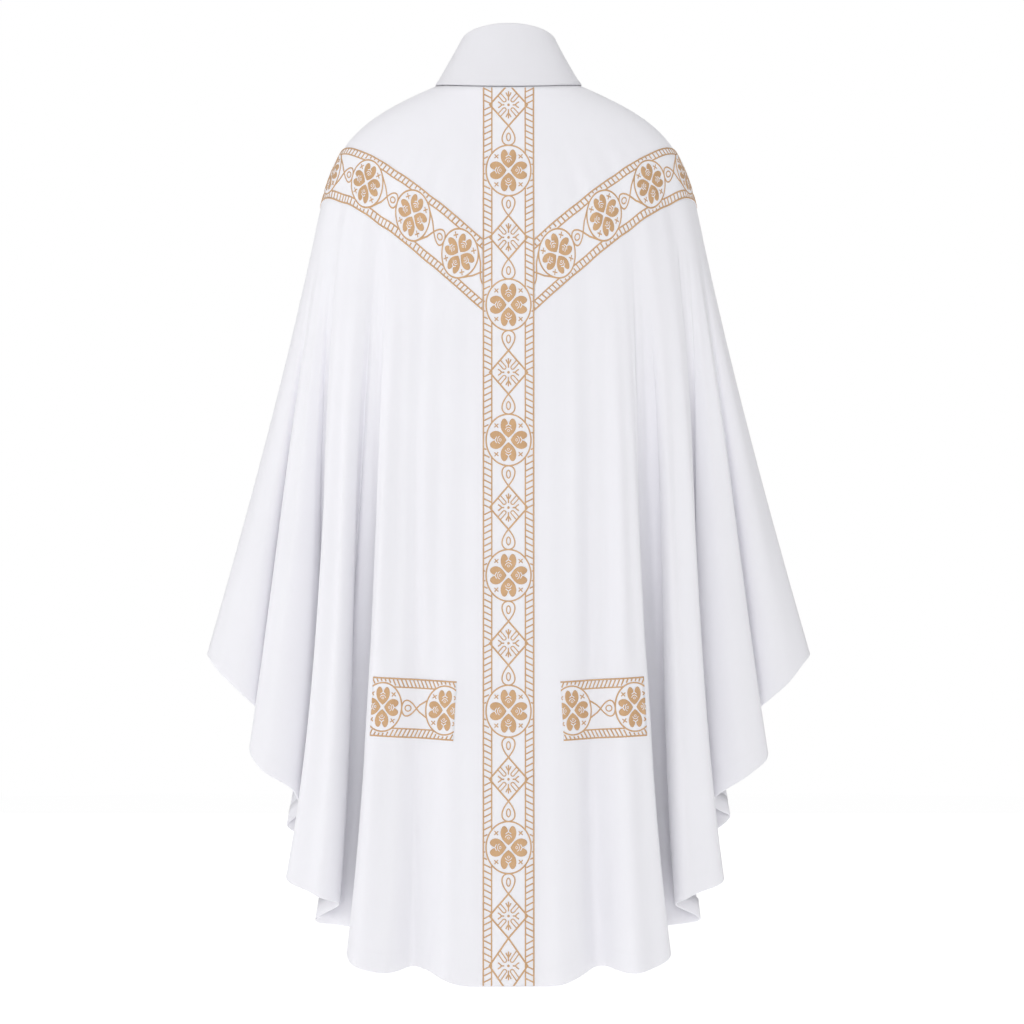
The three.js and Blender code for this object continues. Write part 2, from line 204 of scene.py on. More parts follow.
def ripple(side, u, v, yoke_x):
    """How far the cloth stands out in metres; none at a seam.

    Drag lines every 65 and 34 mm over the shoulders, undulations every 103 and 47 mm of hem.
    """
    inside = np.abs(np.sin(math.pi * u / SEAM)) ** 0.7
    drag = 0.0026 * np.sin(96 * yoke_x + 0.9 * side) + 0.0015 * np.sin(187 * yoke_x + 2.1 + side)
    drag *= np.exp(-(((v - 0.85) / 0.32) ** 2))
    walk = np.interp(u, np.arange(FRONT + 1), HEM_WALK[side])
    hang = 0.0050 * np.sin(61 * walk + 1.1 * side + 0.6 * v)
    hang += 0.0030 * np.sin(134 * walk - 1.4 * v + 2.0 * side)
    fall = np.clip((v - 1.0) / 0.45, 0, 1)
    return inside * (drag + hang * fall**2 * (3 - 2 * fall))


def cloth(side, u, v):
    """Points on the middle of the cloth for arrays of u and v; v is 0 neck, 1 yoke, 2 hem.

    The galloons sewn on it keep it flatter where they are.
    """
    u, v = np.broadcast_arrays(np.asarray(u, float), np.asarray(v, float))
    angle, mid_x, mid_y, hem_x, hem_y, hem_z = np.moveaxis(spline(CONTROLS[side], u), -1, 0)
    neck_x, neck_y, neck_z = neck_line(angle)
    yoke_x, yoke_y = yoke_line(angle)
    sideways = np.sin(angle) ** 2
    out_1, down_1 = 0.5 + 0.24 * sideways, 0.33 - 0.08 * sideways
    out_2, down_2 = 0.95 - 0.1 * sideways, 0.67 - 0.27 * sideways
    b = np.clip(v, 0, 1)
    w_1, w_2, w_3 = 3 * b * (1 - b) ** 2, 3 * b**2 * (1 - b), b**3
    across = w_1 * out_1 + w_2 * out_2 + w_3
    down = w_1 * down_1 + w_2 * down_2 + w_3
    t = np.clip(v - 1, 0, None)
    fall = hem_z + YOKE_DROP

    def hanging(neck, yoke, middle, end):
        lead = (1 - out_2) * (yoke - neck) / ((1 - down_2) * (-YOKE_DROP - neck_z))
        slope = (1 - FOLD_START) * lead * fall + FOLD_START * 2 * (middle - yoke)
        to_middle = middle - yoke - slope / 2
        to_end = end - yoke - slope
        below = yoke + slope * t + (8 * to_middle - to_end) * t**2
        below += (2 * to_end - 8 * to_middle) * t**3
        return np.where(v < 1, neck + (yoke - neck) * across, below)

    x = hanging(neck_x, yoke_x, mid_x, hem_x)
    y = hanging(neck_y, yoke_y, mid_y, hem_y)
    z = np.where(v < 1, neck_z + (-YOKE_DROP - neck_z) * down, -YOKE_DROP + fall * t)
    patch = ((x - PATCH_INSET - PATCH_LENGTH / 2) / 0.085) ** 4 + ((z + PATCH_DROP) / 0.07) ** 4
    band = ((z + ARM_DROP - ARM_SLOPE * x - ARM_TILT * np.abs(y)) / 0.075) ** 4
    free = (1 - 0.85 * np.exp(-patch)) * (1 - 0.45 * np.exp(-band))
    out = ripple(side, u, v, yoke_x) * free
    x, y = x + out * np.sin(angle), y - out * np.cos(angle)
    return np.stack([x * side, y, z], -1)


def unit(vectors):
    """The same vectors with a length of 1."""
    return vectors / np.linalg.norm(vectors, axis=-1, keepdims=True)


def cloth_frame(side, u, v):
    """Points with the unit directions round the body, down the cloth and outwards."""
    step = 0.003
    around = unit(cloth(side, u + step, v) - cloth(side, u - step, v))
    down = unit(cloth(side, u, np.minimum(v + step, 2)) - cloth(side, u, np.maximum(v - step, 0)))
    outward = unit(np.cross(down, around) * side)
    return cloth(side, u, v), around, down, outward


# ---- making pieces


def placed(name, data):
    """A new object in the scene."""
    thing = bpy.data.objects.new(name, data)
    bpy.context.scene.collection.objects.link(thing)
    return thing


def finish_mesh(name, bm, material, modifiers=()):
    """A smooth-shaded object from a bmesh, with modifiers given as (type, settings)."""
    mesh = bpy.data.meshes.new(name)
    bm.to_mesh(mesh)
    bm.free()
    mesh.polygons.foreach_set("use_smooth", [True] * len(mesh.polygons))
    mesh.materials.append(material)
    piece = placed(name, mesh)
    for kind, settings in modifiers:
        modifier = piece.modifiers.new(kind.lower(), kind)
        for key, value in settings.items():
            setattr(modifier, key, value)
    return piece


def belongs(piece, slot, *nodes):
    """Puts a piece under the root body, hides the parts named as its nodes, and returns the piece;
    slot is not used.
    """
    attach(piece, "root")
    if nodes:
        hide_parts(*nodes)
    return piece


def grid_mesh(points, uvs=None, closed=False, to_hem=None):
    """A bmesh grid laid over an array of points; a closed one joins its last line to its first.

    to_hem is each point's distance from the fold of the hem, kept for the row of stitches.
    """
    columns, rows = points.shape[:2]
    bm = bmesh.new()
    bmesh.ops.create_grid(bm, x_segments=columns - 1, y_segments=rows - 1, size=0.5)
    bm.verts.ensure_lookup_table()
    places = {}
    for vert in bm.verts:
        i = round((vert.co.x + 0.5) * (columns - 1))
        j = round((vert.co.y + 0.5) * (rows - 1))
        places[vert.index] = (i, j)
        vert.co = points[i, j]
    if uvs is not None:
        layer = bm.loops.layers.uv.new("cloth")
        for face in bm.faces:
            for loop in face.loops:
                loop[layer].uv = uvs[places[loop.vert.index]]
    if to_hem is not None:
        hem_layer = bm.verts.layers.float.new("to_hem")
        for vert in bm.verts:
            vert[hem_layer] = to_hem[places[vert.index]]
    if closed:
        bmesh.ops.remove_doubles(bm, verts=bm.verts[:], dist=1e-6)
    return bm


def face_outwards(bm, outward):
    """Turns every face over if the mesh faces the other way from the outward direction given."""
    bm.normal_update()
    face = bm.faces[:][len(bm.faces) // 2]
    if face.normal.dot(Vector(outward(face.calc_center_median()))) < 0:
        bmesh.ops.reverse_faces(bm, faces=bm.faces[:])


def lengths(points, axis):
    """Distance along each line of a grid of points, from its start."""
    steps = np.linalg.norm(np.diff(points, axis=axis), axis=-1)
    pad = [(0, 0), (0, 0)]
    pad[axis] = (1, 0)
    return np.pad(np.cumsum(steps, axis=axis), pad)


def flat_pattern(points):
    """Where each point lies on the cloth before sewing, in metres: a fan, as such cloth is cut."""
    round_body = lengths(points, 0)
    down = lengths(points, 1)
    neck, hem = round_body[-1, 0], round_body[-1, -1]
    start = neck * down[:, -1].mean() / (hem - neck)
    radius = start + down
    angle = round_body / radius
    return np.stack([radius * np.sin(angle), -radius * np.cos(angle)], -1)


def straight_pattern(points):
    """The same for cloth that is cut straight."""
    return np.stack([lengths(points, 0), lengths(points, 1)], -1)


def mesh_area(points):
    """Area of a grid of points, from the diagonals of its cells."""
    a = points[1:, 1:] - points[:-1, :-1]
    b = points[1:, :-1] - points[:-1, 1:]
    return float(np.linalg.norm(np.cross(a, b), axis=-1).sum() / 2)


def declare_cloth(piece, points):
    """Works out the width, length and area of a sheet's points, measured along the cloth; nothing
    uses them, and piece is not used.
    """
    width, length = lengths(points, 0)[-1].max(), lengths(points, 1)[:, -1].max()
    area = min(mesh_area(points), width * length)


def solid_sheet(thickness, offset=0.0):
    """The modifier that gives a sheet its thickness: offset -1 is all inside, 1 all outside."""
    return ("SOLIDIFY", {"thickness": thickness, "offset": offset})


# ---- shader maths


class Wire:
    """A shader socket that does arithmetic; each operation adds its Math node."""

    def __init__(self, finish, socket):
        self.finish = finish
        self.socket = socket

    def math(self, operation, *values):
        return self.finish.node("ShaderNodeMath", {"operation": operation}, values)

    def __add__(self, other):
        return self.math("ADD", self, other)

    def __mul__(self, other):
        return self.math("MULTIPLY", self, other)

    def __sub__(self, other):
        return self.math("SUBTRACT", self, other)

    def __rsub__(self, other):
        return self.math("SUBTRACT", other, self)

    def __truediv__(self, other):
        return self.math("DIVIDE", self, other)

    __radd__ = __add__
    __rmul__ = __mul__

    def sin(self):
        return self.math("SINE", self)

    def abs(self):
        return self.math("ABSOLUTE", self)

    def fraction(self):
        return self.math("FRACT", self)

    def clamp(self):
        return self.math("MAXIMUM", self.math("MINIMUM", self, 1.0), 0.0)


class Finish:
    """A material under construction: its node tree and its Principled shader."""

    def __init__(self, name, **constants):
        self.material = bpy.data.materials.new(name)
        self.material.use_nodes = True
        self.tree = self.material.node_tree
        self.shader = self.tree.nodes["Principled BSDF"]
        for key, value in constants.items():
            self.shader.inputs[key.replace("_", " ").title()].default_value = value

    def node(self, kind, settings=None, inputs=(), output=0):
        """Adds a node, sets it, feeds its inputs by position or name, and returns an output."""
        node = self.tree.nodes.new(kind)
        for key, value in (settings or {}).items():
            setattr(node, key, value)
        pairs = inputs.items() if isinstance(inputs, dict) else enumerate(inputs)
        for key, value in pairs:
            if isinstance(value, Wire):
                self.tree.links.new(value.socket, node.inputs[key])
            else:
                node.inputs[key].default_value = value
        return Wire(self, node.outputs[output])

    def flat_place(self):
        """Distances across and along a piece's cloth in metres, and both as one vector."""
        uv = self.node("ShaderNodeUVMap", {"uv_map": "cloth"})
        parts = self.node("ShaderNodeSeparateXYZ", {}, [uv]).socket.node.outputs
        return Wire(self, parts[0]), Wire(self, parts[1]), uv

    def place(self):
        """The place in the garment, in metres."""
        return self.node("ShaderNodeTexCoord", output=3)

    def noise(self, vector, scale, detail=2.0):
        inputs = {"Vector": vector, "Scale": scale, "Detail": detail}
        return self.node("ShaderNodeTexNoise", {}, inputs)

    def mix(self, factor, first, second):
        """A colour between two colours."""
        return self.node("ShaderNodeMix", {"data_type": "RGBA"}, {0: factor, 6: first, 7: second}, 2)

    def drive(self, socket, wire):
        self.tree.links.new(wire.socket, self.shader.inputs[socket])

    def bump(self, height, distance, strength=1.0):
        inputs = {"Height": height, "Distance": distance, "Strength": strength}
        self.drive("Normal", self.node("ShaderNodeBump", {}, inputs))


def weave(across, along, pitch):
    """Height of a plain weave, 0 to 1: rounded threads that pass over and under each other."""
    turn = 2 * math.pi / (2 * pitch)
    warp = (across * turn).sin().abs()
    weft = (along * turn).sin().abs()
    over = ((across * turn / 2).sin() * (along * turn / 2).sin() * 4.0 + 0.5).clamp()
    return over * warp + (1.0 - over) * weft


def cloth_shader(name, base, shade, pitch):
    """Woven cloth without its bump: the finish, its thread height and its distance across."""
    finish = Finish(name, roughness=0.82, sheen_weight=0.25, sheen_roughness=0.45)
    finish.shader.inputs["Specular IOR Level"].default_value = 0.25
    across, along, uv = finish.flat_place()
    threads = weave(across, along, pitch)
    cloud = finish.noise(finish.place(), 7.0, 3.0)
    stretched = finish.node("ShaderNodeMapping", {}, {"Vector": uv, "Scale": (900, 35, 1)})
    slub = finish.noise(stretched, 1.0)
    # Colour: the clouds and slubs are the cloth's own uneven colour; darker between the threads than
    # on their tops is painted shade.
    tone_and_weave_shade = ((cloud - 0.5) * 0.9 + (slub - 0.5) * 0.5 + threads * 0.35 + 0.3).clamp()
    finish.drive("Base Color", finish.mix(tone_and_weave_shade, shade, base))
    finish.drive("Roughness", 0.86 - threads * 0.08)
    return finish, threads + slub * 0.3, across


def cloth_finish(name, base, shade, pitch):
    """Plain woven cloth."""
    finish, threads, _ = cloth_shader(name, base, shade, pitch)
    finish.bump(threads, 0.00012, 0.6)
    return finish.material


def gold_finish():
    """Satin stitches of gold thread lying across each line of the pattern."""
    finish = Finish("gold_thread", sheen_weight=0.1)
    finish.shader.inputs["Specular IOR Level"].default_value = 0.5
    across, along, _ = finish.flat_place()
    turns = 2 * math.pi / 0.0007
    thread = ((across + along) * turns).sin() * 0.5 + 0.5
    cloud = finish.noise(finish.place(), 60.0, 3.0)
    # Colour: lighter on each thread's crest is painted highlight and darker between threads is
    # painted shade; the cloud is the metal's own uneven colour.
    deep, light = (0.51, 0.29, 0.14, 1), (0.73, 0.475, 0.265, 1)
    finish.drive("Base Color", finish.mix((thread * 0.5 + cloud * 0.7 - 0.1).clamp(), deep, light))
    finish.drive("Roughness", 0.52 - thread * 0.12)
    finish.drive("Metallic", thread * 0.15 + 0.1)
    finish.bump(thread, 0.00015, 0.5)
    return finish.material


def stitched_finish(name, base, shade, pitch):
    """The panels' cloth, with a row of machine stitches where the turned-up hem is sewn."""
    stitch_length, gap, width = 0.0026, 0.0006, 0.0005
    finish, threads, across = cloth_shader(name, base, shade, pitch)
    to_hem = finish.node("ShaderNodeAttribute", {"attribute_name": "to_hem"}, output=2)
    beside = (to_hem - (HEM_WIDTH - 0.003)).abs()
    row = (1.0 - beside / width).clamp()
    dash = (((across / stitch_length).fraction() - 0.5).abs() - gap / stitch_length / 2) * 8.0
    stitch = (row * 2.0).clamp() * dash.clamp()
    pucker = (1.0 - beside / (5 * width)).clamp()
    finish.bump(threads + stitch * 2.5 - pucker * 1.6, 0.00012, 0.6)
    return finish.material


def plain_finish(name, colour, roughness, speckle):
    """A felt-like finish for the hidden stiffening."""
    finish = Finish(name, sheen_weight=0.2)
    fibres = finish.noise(finish.place(), 900.0, 4.0)
    dark = tuple(part * (1 - speckle) for part in colour[:3]) + (1,)
    finish.drive("Base Color", finish.mix(fibres, dark, colour))
    finish.drive("Roughness", roughness - fibres * 0.1)
    finish.bump(fibres, 0.0002)
    return finish.material


CLOTH_PITCH, TAPE_PITCH = 0.0006, 0.0004  # thread to thread
WHITE, WHITE_SHADE = (0.90, 0.895, 0.935, 1), (0.86, 0.855, 0.895, 1)
# The collar is the same white cloth as the panels; its colours are made about 9 percent darker as
# painted shade.
COLLAR_WHITE_PAINTED_SHADE, COLLAR_DARK_PAINTED_SHADE = (0.82, 0.815, 0.852, 1), (0.79, 0.785, 0.82, 1)
TAPE_WHITE, TAPE_SHADE = (0.915, 0.91, 0.95, 1), (0.875, 0.87, 0.91, 1)
PANEL_CLOTH = stitched_finish("white_cloth", WHITE, WHITE_SHADE, CLOTH_PITCH)
FACING_CLOTH = cloth_finish("facing_cloth", WHITE, WHITE_SHADE, CLOTH_PITCH)
# The collar's cloth, in the darker colours of painted shade.
COLLAR_CLOTH_PAINTED_SHADE = cloth_finish("collar_cloth_painted_shade", COLLAR_WHITE_PAINTED_SHADE, COLLAR_DARK_PAINTED_SHADE, CLOTH_PITCH)
GROUND = cloth_finish("galloon_ground", TAPE_WHITE, TAPE_SHADE, TAPE_PITCH)
GOLD = gold_finish()
INTERFACING = plain_finish("interfacing", (0.82, 0.80, 0.74, 1), 0.95, 0.15)

# ---- panels

EDGE_TURN = 0.0012  # radius of a pressed edge
SEAM_ALLOWANCE = 0.010
PANEL_LINES = 12 * SEAM
UPPER_ROWS, LOWER_ROWS = 34, 96  # of the mesh, above and below the yoke
# Each is (distance towards the edge, distance inwards) from the edge of the cloth.
PRESSED = [(-EDGE_TURN, 0), (-0.3 * EDGE_TURN, 0.3 * EDGE_TURN), (0, EDGE_TURN)]
SEAM_EDGE = PRESSED + [(0, SEAM_ALLOWANCE)]
HEM_EDGE = PRESSED + [
    (-0.3 * EDGE_TURN, 1.7 * EDGE_TURN),
    (-EDGE_TURN, 2 * EDGE_TURN),
    (-0.5 * HEM_WIDTH, 2 * EDGE_TURN),
    (-HEM_WIDTH, 2 * EDGE_TURN),
    (-HEM_WIDTH, EDGE_TURN),
]


def panel_points(side, start):
    """The panel's main cloth with its turned seam and hem edges, as an array of points."""
    inner = start + np.linspace(0, SEAM, PANEL_LINES + 1)[2:-2]
    columns = [(start, -toward, inward) for toward, inward in reversed(SEAM_EDGE)]
    columns += [(u, 0, 0) for u in inner]
    columns += [(start + SEAM, toward, inward) for toward, inward in SEAM_EDGE]
    rows = [(v, 0, 0) for v in np.linspace(0, 1, UPPER_ROWS + 1)]
    rows += [(v, 0, 0) for v in np.linspace(1, 2, LOWER_ROWS + 1)[1:-1]]
    rows += [(2, toward, inward) for toward, inward in HEM_EDGE]
    u, toward_side, inward_side = np.array(columns).T[:, :, None]
    v, toward_hem, inward_hem = np.array(rows).T[:, None, :]
    u, v = np.broadcast_arrays(u, v)
    point, around, down, outward = cloth_frame(side, u, v)
    point = point + around * toward_side[..., None] + down * toward_hem[..., None]
    return point - outward * (inward_side + inward_hem)[..., None]


def make_panel(name, side, facing):
    """One panel of cloth, from centre back or centre front to the shoulder seam."""
    points = panel_points(side, 0 if facing < 0 else SEAM)
    down = lengths(points, 1)
    fold = -len(HEM_EDGE)
    to_hem = down[:, fold:fold + 1] - down + EDGE_TURN
    to_hem[:, fold:] = [-toward for toward, _ in HEM_EDGE]
    bm = grid_mesh(points, flat_pattern(points), to_hem=to_hem)
    face_outwards(bm, lambda centre: (centre.x, 2 * centre.y, 0))
    piece = finish_mesh(name, bm, PANEL_CLOTH, [solid_sheet(CLOTH)])
    declare_cloth(belongs(piece, "cloth", f"{name}_panel"), points)


# ---- laying galloon on the cloth


def cloth_tree():
    """All of the cloth's middle as one surface to cast rays at."""
    verts, faces = [], []
    for side in SIDES.values():
        u = np.linspace(0, FRONT, FRONT * 10 + 1)[:, None]
        v = np.linspace(0, 2, 201)[None, :]
        points = cloth(side, *np.broadcast_arrays(u, v))
        start = len(verts)
        verts += [Vector(point) for point in points.reshape(-1, 3)]
        lines, rows = points.shape[:2]
        corner = start + np.arange(lines - 1)[:, None] * rows + np.arange(rows - 1)[None, :]
        cells = np.stack([corner, corner + 1, corner + rows + 1, corner + rows], -1)
        faces += cells.reshape(-1, 4).tolist()
    return BVHTree.FromPolygons(verts, faces)


TREE = cloth_tree()
FAR = 2.0  # rays start this far out


def hit(start, direction, height):
    """The point at a height above the outside of the cloth, where a ray from outside meets it."""
    place, normal, _, _ = TREE.ray_cast(start, direction)
    if normal.dot(direction) > 0:
        normal = -normal
    return place + normal * (height + CLOTH / 2)


def column_lay(facing):
    """Lays (across, along, height) on the centre line; along starts at the neck seam."""
    drop = BACK_DROP if facing < 0 else FRONT_DROP

    def lay(across, along, height):
        lift = drop * (across / NECK_WIDTH) ** 2 * math.exp(-along / 0.06)
        start = Vector((across * -facing + 2e-6, facing * FAR, -drop - along + lift - 0.0012))
        return hit(start, Vector((0, -facing, 0)), height)

    return lay


def arm_lay(side, facing):
    """Lays on the slanting band; along starts at the column's edge, across runs upwards."""
    rise = math.hypot(ARM_SLOPE, ARM_TILT, 1)

    def cast(turn, across, height):
        x, y = side * FAR * math.sin(turn), facing * FAR * math.cos(turn)
        middle = -ARM_DROP + across * rise
        start = Vector((x, y, middle + ARM_SLOPE * abs(x) + ARM_TILT * abs(y)))
        return hit(start, (Vector((0, 0, middle)) - start).normalized(), height)

    turns = np.linspace(math.radians(-40), math.radians(130), 400)
    line = np.array([cast(turn, 0.0, 0.0) for turn in turns])
    along_line = lengths(line[:, None], 0)[:, 0]
    along_line -= np.interp(COLUMN_HALF, line[:, 0] * side, along_line)

    def lay(across, along, height):
        lean = (ARM_LEAN[0] - ARM_LEAN[1] * max(along, 0)) * across
        turn = float(np.interp(along - lean, along_line, turns))
        return cast(turn, across, height)

    lay.length = float(np.interp(math.pi / 2, turns, along_line))
    return lay


def patch_lay(side, facing):
    """Lays on a patch; along starts at the end near the column."""
    slope = math.atan(PATCH_SLOPE)
    middle = PATCH_LENGTH / 2

    def lay(across, along, height):
        out = middle + (along - middle) * math.cos(slope) - across * math.sin(slope)
        up = (along - middle) * math.sin(slope) + across * math.cos(slope)
        start = Vector((side * (PATCH_INSET + out), facing * FAR, up - PATCH_DROP))
        return hit(start, Vector((0, -facing, 0)), height)

    return lay


def lay_mesh(bm, lay):
    """Moves a flat mesh (across, along, height) on to the cloth; across, along become its UV."""
    layer = bm.loops.layers.uv.new("cloth")
    for face in bm.faces:
        for loop in face.loops:
            loop[layer].uv = loop.vert.co.xy
    for vert in bm.verts:
        vert.co = lay(*vert.co)


# ---- the pattern of the galloon

LINE = 0.0023  # width of a gold line
GOLD_LOW, GOLD_HIGH = TAPE - 0.0002, TAPE + 0.0006
VEIN_LOW, VEIN_HIGH = GOLD_HIGH - 0.0002, GOLD_HIGH + 0.0003
# Across and up a thread of unit width and height.
SECTION = [(-0.5, 0), (-0.38, 0.75), (0, 1), (0.38, 0.75), (0.5, 0), (-0.5, 0)]
# Half of a heart petal from its tip to its notch: share of its half width, share of its length.
HALF_HEART = [
    (0.0, 0.0), (0.34, 0.11), (0.64, 0.24), (0.87, 0.39), (0.98, 0.54), (1.0, 0.68),
    (0.93, 0.83), (0.77, 0.95), (0.56, 1.0), (0.35, 0.97), (0.19, 0.88), (0.08, 0.76),
]


def divided(path, step=0.003):
    """The same path with no two points further apart than a step, to follow the cloth."""
    points = [path[:1]]
    for start, end in zip(path[:-1], path[1:]):
        count = max(1, math.ceil(np.linalg.norm(end - start) / step))
        points.append(start + (end - start) * np.linspace(0, 1, count + 1)[1:, None])
    return np.vstack(points)


def thread_line(bm, path, width=LINE, closed=False, low=GOLD_LOW, high=GOLD_HIGH):
    """A raised line of thread along a flat path of (across, along) points."""
    path = np.array(path, float)
    if closed:
        path = np.vstack([path, path[:1]])
    path = divided(path)
    ahead = np.roll(path, -1, 0) - path
    behind = path - np.roll(path, 1, 0)
    if closed:
        ahead[-1], behind[0] = ahead[0], behind[-1]
    else:
        ahead[-1], behind[0] = behind[-1], ahead[0]
    ahead, behind = unit(ahead), unit(behind)
    run = unit(ahead + behind)
    miter = 1 / np.clip((run * ahead).sum(-1), 0.6, 1)
    beside = np.stack([-run[:, 1], run[:, 0]], -1) * miter[:, None]
    points = np.zeros((len(path), len(SECTION), 3))
    for j, (across, up) in enumerate(SECTION):
        points[:, j, :2] = path + beside * across * width
        points[:, j, 2] = low + (high - low) * up
    part = grid_mesh(points, closed=True)
    if not closed:
        bmesh.ops.holes_fill(part, edges=part.edges[:])
    bmesh.ops.recalc_face_normals(part, faces=part.faces[:])
    stamp(bm, part)
    part.free()


def stamp(bm, part, matrix=Matrix.Identity(4)):
    """Adds a copy of a small mesh, moved by a matrix."""
    mesh = bpy.data.meshes.new("stamp")
    part.to_mesh(mesh)
    mesh.transform(matrix)
    bm.from_mesh(mesh)
    bpy.data.meshes.remove(mesh)


def ellipse(centre, across, along, count):
    """Points round an oval."""
    turns = np.linspace(0, 2 * math.pi, count, endpoint=False)
    return np.stack([centre[0] + across * np.sin(turns), centre[1] + along * np.cos(turns)], -1)


def turned(points, centre, angle):
    """Flat points about the origin, turned and moved to a centre."""
    c, s = math.cos(angle), math.sin(angle)
    x, y = np.array(points, float).T
    return np.stack([centre[0] + c * x - s * y, centre[1] + s * x + c * y], -1)


def heart_part():
    """A petal of unit size with its tip at the origin, crowned like padded satin stitch."""
    outline = HALF_HEART + [(-x, y) for x, y in reversed(HALF_HEART[1:])]
    bm = bmesh.new()
    bmesh.ops.create_circle(bm, cap_ends=True, segments=len(outline), radius=1.0)
    bm.verts.ensure_lookup_table()
    for vert, (x, y) in zip(bm.verts, outline):
        vert.co = (x, y, 0)
    top = bmesh.ops.extrude_face_region(bm, geom=bm.faces[:])["geom"]
    rim = [vert for vert in top if isinstance(vert, bmesh.types.BMVert)]
    bmesh.ops.translate(bm, verts=rim, vec=(0, 0, 0.7))
    caps = [face for face in top if isinstance(face, bmesh.types.BMFace)]
    bmesh.ops.inset_region(bm, faces=caps, thickness=0.07)
    crown = list({vert for face in caps for vert in face.verts})
    bmesh.ops.translate(bm, verts=crown, vec=(0, 0, 0.3))
    bmesh.ops.poke(bm, faces=caps)
    bmesh.ops.recalc_face_normals(bm, faces=bm.faces[:])
    return bm


def disc_part():
    """A low button of unit size."""
    bm = bmesh.new()
    bmesh.ops.create_cone(bm, cap_ends=True, segments=14, radius1=1.0, radius2=0.75, depth=1.0)
    bmesh.ops.translate(bm, verts=bm.verts[:], vec=(0, 0, 0.5))
    return bm


HEART = heart_part()
DISC = disc_part()


def petal(gold, veins, centre, angle, reach, half_width):
    """One heart petal with its white slit, fork, arc and eye."""
    tip = 0.09 * reach
    length = 0.83 * reach - tip
    size = Matrix.Diagonal((half_width, length, GOLD_HIGH - GOLD_LOW, 1))
    turn = Matrix.Translation((*centre, 0)) @ Matrix.Rotation(angle, 4, "Z")
    stamp(gold, HEART, turn @ Matrix.Translation((0, tip, GOLD_LOW)) @ size)

    def vein(points, width, closed=False):
        points = np.array(points) * [half_width, length] + [0, tip]
        thread_line(veins, turned(points, centre, angle), width, closed, VEIN_LOW, VEIN_HIGH)

    vein([(0, 0.84), (0, 0.70)], 0.0015)
    vein([(-0.36, 0.59), (0, 0.70), (0.36, 0.59)], 0.0014)
    vein([(-0.42, 0.40), (-0.27, 0.50), (0, 0.54), (0.27, 0.50), (0.42, 0.40)], 0.0011)
    vein(ellipse((0, 0.37), 0.15, 0.055, 10), 0.0008, True)


def roundel(gold, veins, centre, across, along, tail=()):
    """An oval ring holding four heart petals with a small cross in each corner between them."""
    ring = ellipse(centre, across, along, 56)
    thread_line(gold, ring, closed=True)
    for quarter in range(4):
        reach, wide = (along, across) if quarter % 2 == 0 else (across, along)
        petal(gold, veins, centre, quarter * math.pi / 2, reach, 0.35 * wide)
        right, up = [(1, 1), (-1, 1), (-1, -1), (1, -1)][quarter]
        spot = (centre[0] + 0.54 * across * right, centre[1] + 0.555 * along * up)
        slant = math.atan2(across * right, along * up)
        for turn in (-slant, math.pi / 2 - slant):
            thread_line(gold, turned([(0, -0.0038), (0, 0.0038)], spot, turn), 0.0017)
    for path in tail:
        thread_line(gold, path)


def drop(gold, apex, end, half_width, ring):
    """A teardrop from its point to its round end on the centre line, with a ring in it."""
    middle, reach = (apex + end) / 2, (apex - end) / 2
    turns = np.linspace(0, 2 * math.pi, 28, endpoint=False)
    x = half_width / 0.77 * np.sin(turns) * np.sin(turns / 2)
    thread_line(gold, np.stack([x, middle + reach * np.cos(turns)], -1), 0.0021, closed=True)
    centre = middle - 0.15 * reach
    thread_line(gold, ellipse((0, centre), ring[0], ring[1], 16), 0.0018, closed=True)


def lozenge(gold, centre, across, along):
    """A diamond with a star of sprigs and loops in it."""
    corners = np.array([(0, -along), (across, 0), (0, along), (-across, 0)])
    path = []
    for i in range(4):
        a, b = corners[i], corners[(i + 1) % 4]
        path += [centre + a + (b - a) * share for share in np.linspace(0, 1, 8)[:-1]]
    thread_line(gold, path, 0.0026, closed=True)
    size = Matrix.Diagonal((0.0021, 0.0021, GOLD_HIGH - GOLD_LOW, 1))
    stamp(gold, DISC, Matrix.Translation((*centre, GOLD_LOW)) @ size)
    for quarter in range(4):
        angle = quarter * math.pi / 2
        if quarter % 2 == 0:
            stem, fork, spread = (0.0065, 0.0200), (0.0118, 0.0182), 0.0036
        else:
            stem, fork, spread = (0.0060, 0.0105), (0.0095, 0.0148), 0.0044
        thread_line(gold, turned([(0, stem[0]), (0, stem[1])], centre, angle), 0.0021)
        for lean in (-1, 1):
            bend = (0.6 * lean * spread, sum(fork) / 2)
            leaf = [(0, fork[0]), bend, (lean * spread, fork[1])]
            thread_line(gold, turned(leaf, centre, angle), 0.0020)
    width = 0.0026
    bend = [(width * math.sin(a), 0.0092 - width * math.cos(a)) for a in np.linspace(-1.5, 1.5, 7)]
    for right, up in ((1, 1), (1, -1), (-1, 1), (-1, -1)):
        slant = math.atan2(-across * right, along * up)
        edge = 1 / (abs(math.sin(slant)) / across + abs(math.cos(slant)) / along)
        loop = [(-width, edge - 0.0006), *bend, (width, edge - 0.0006)]
        thread_line(gold, turned(loop, centre, slant), 0.0017)


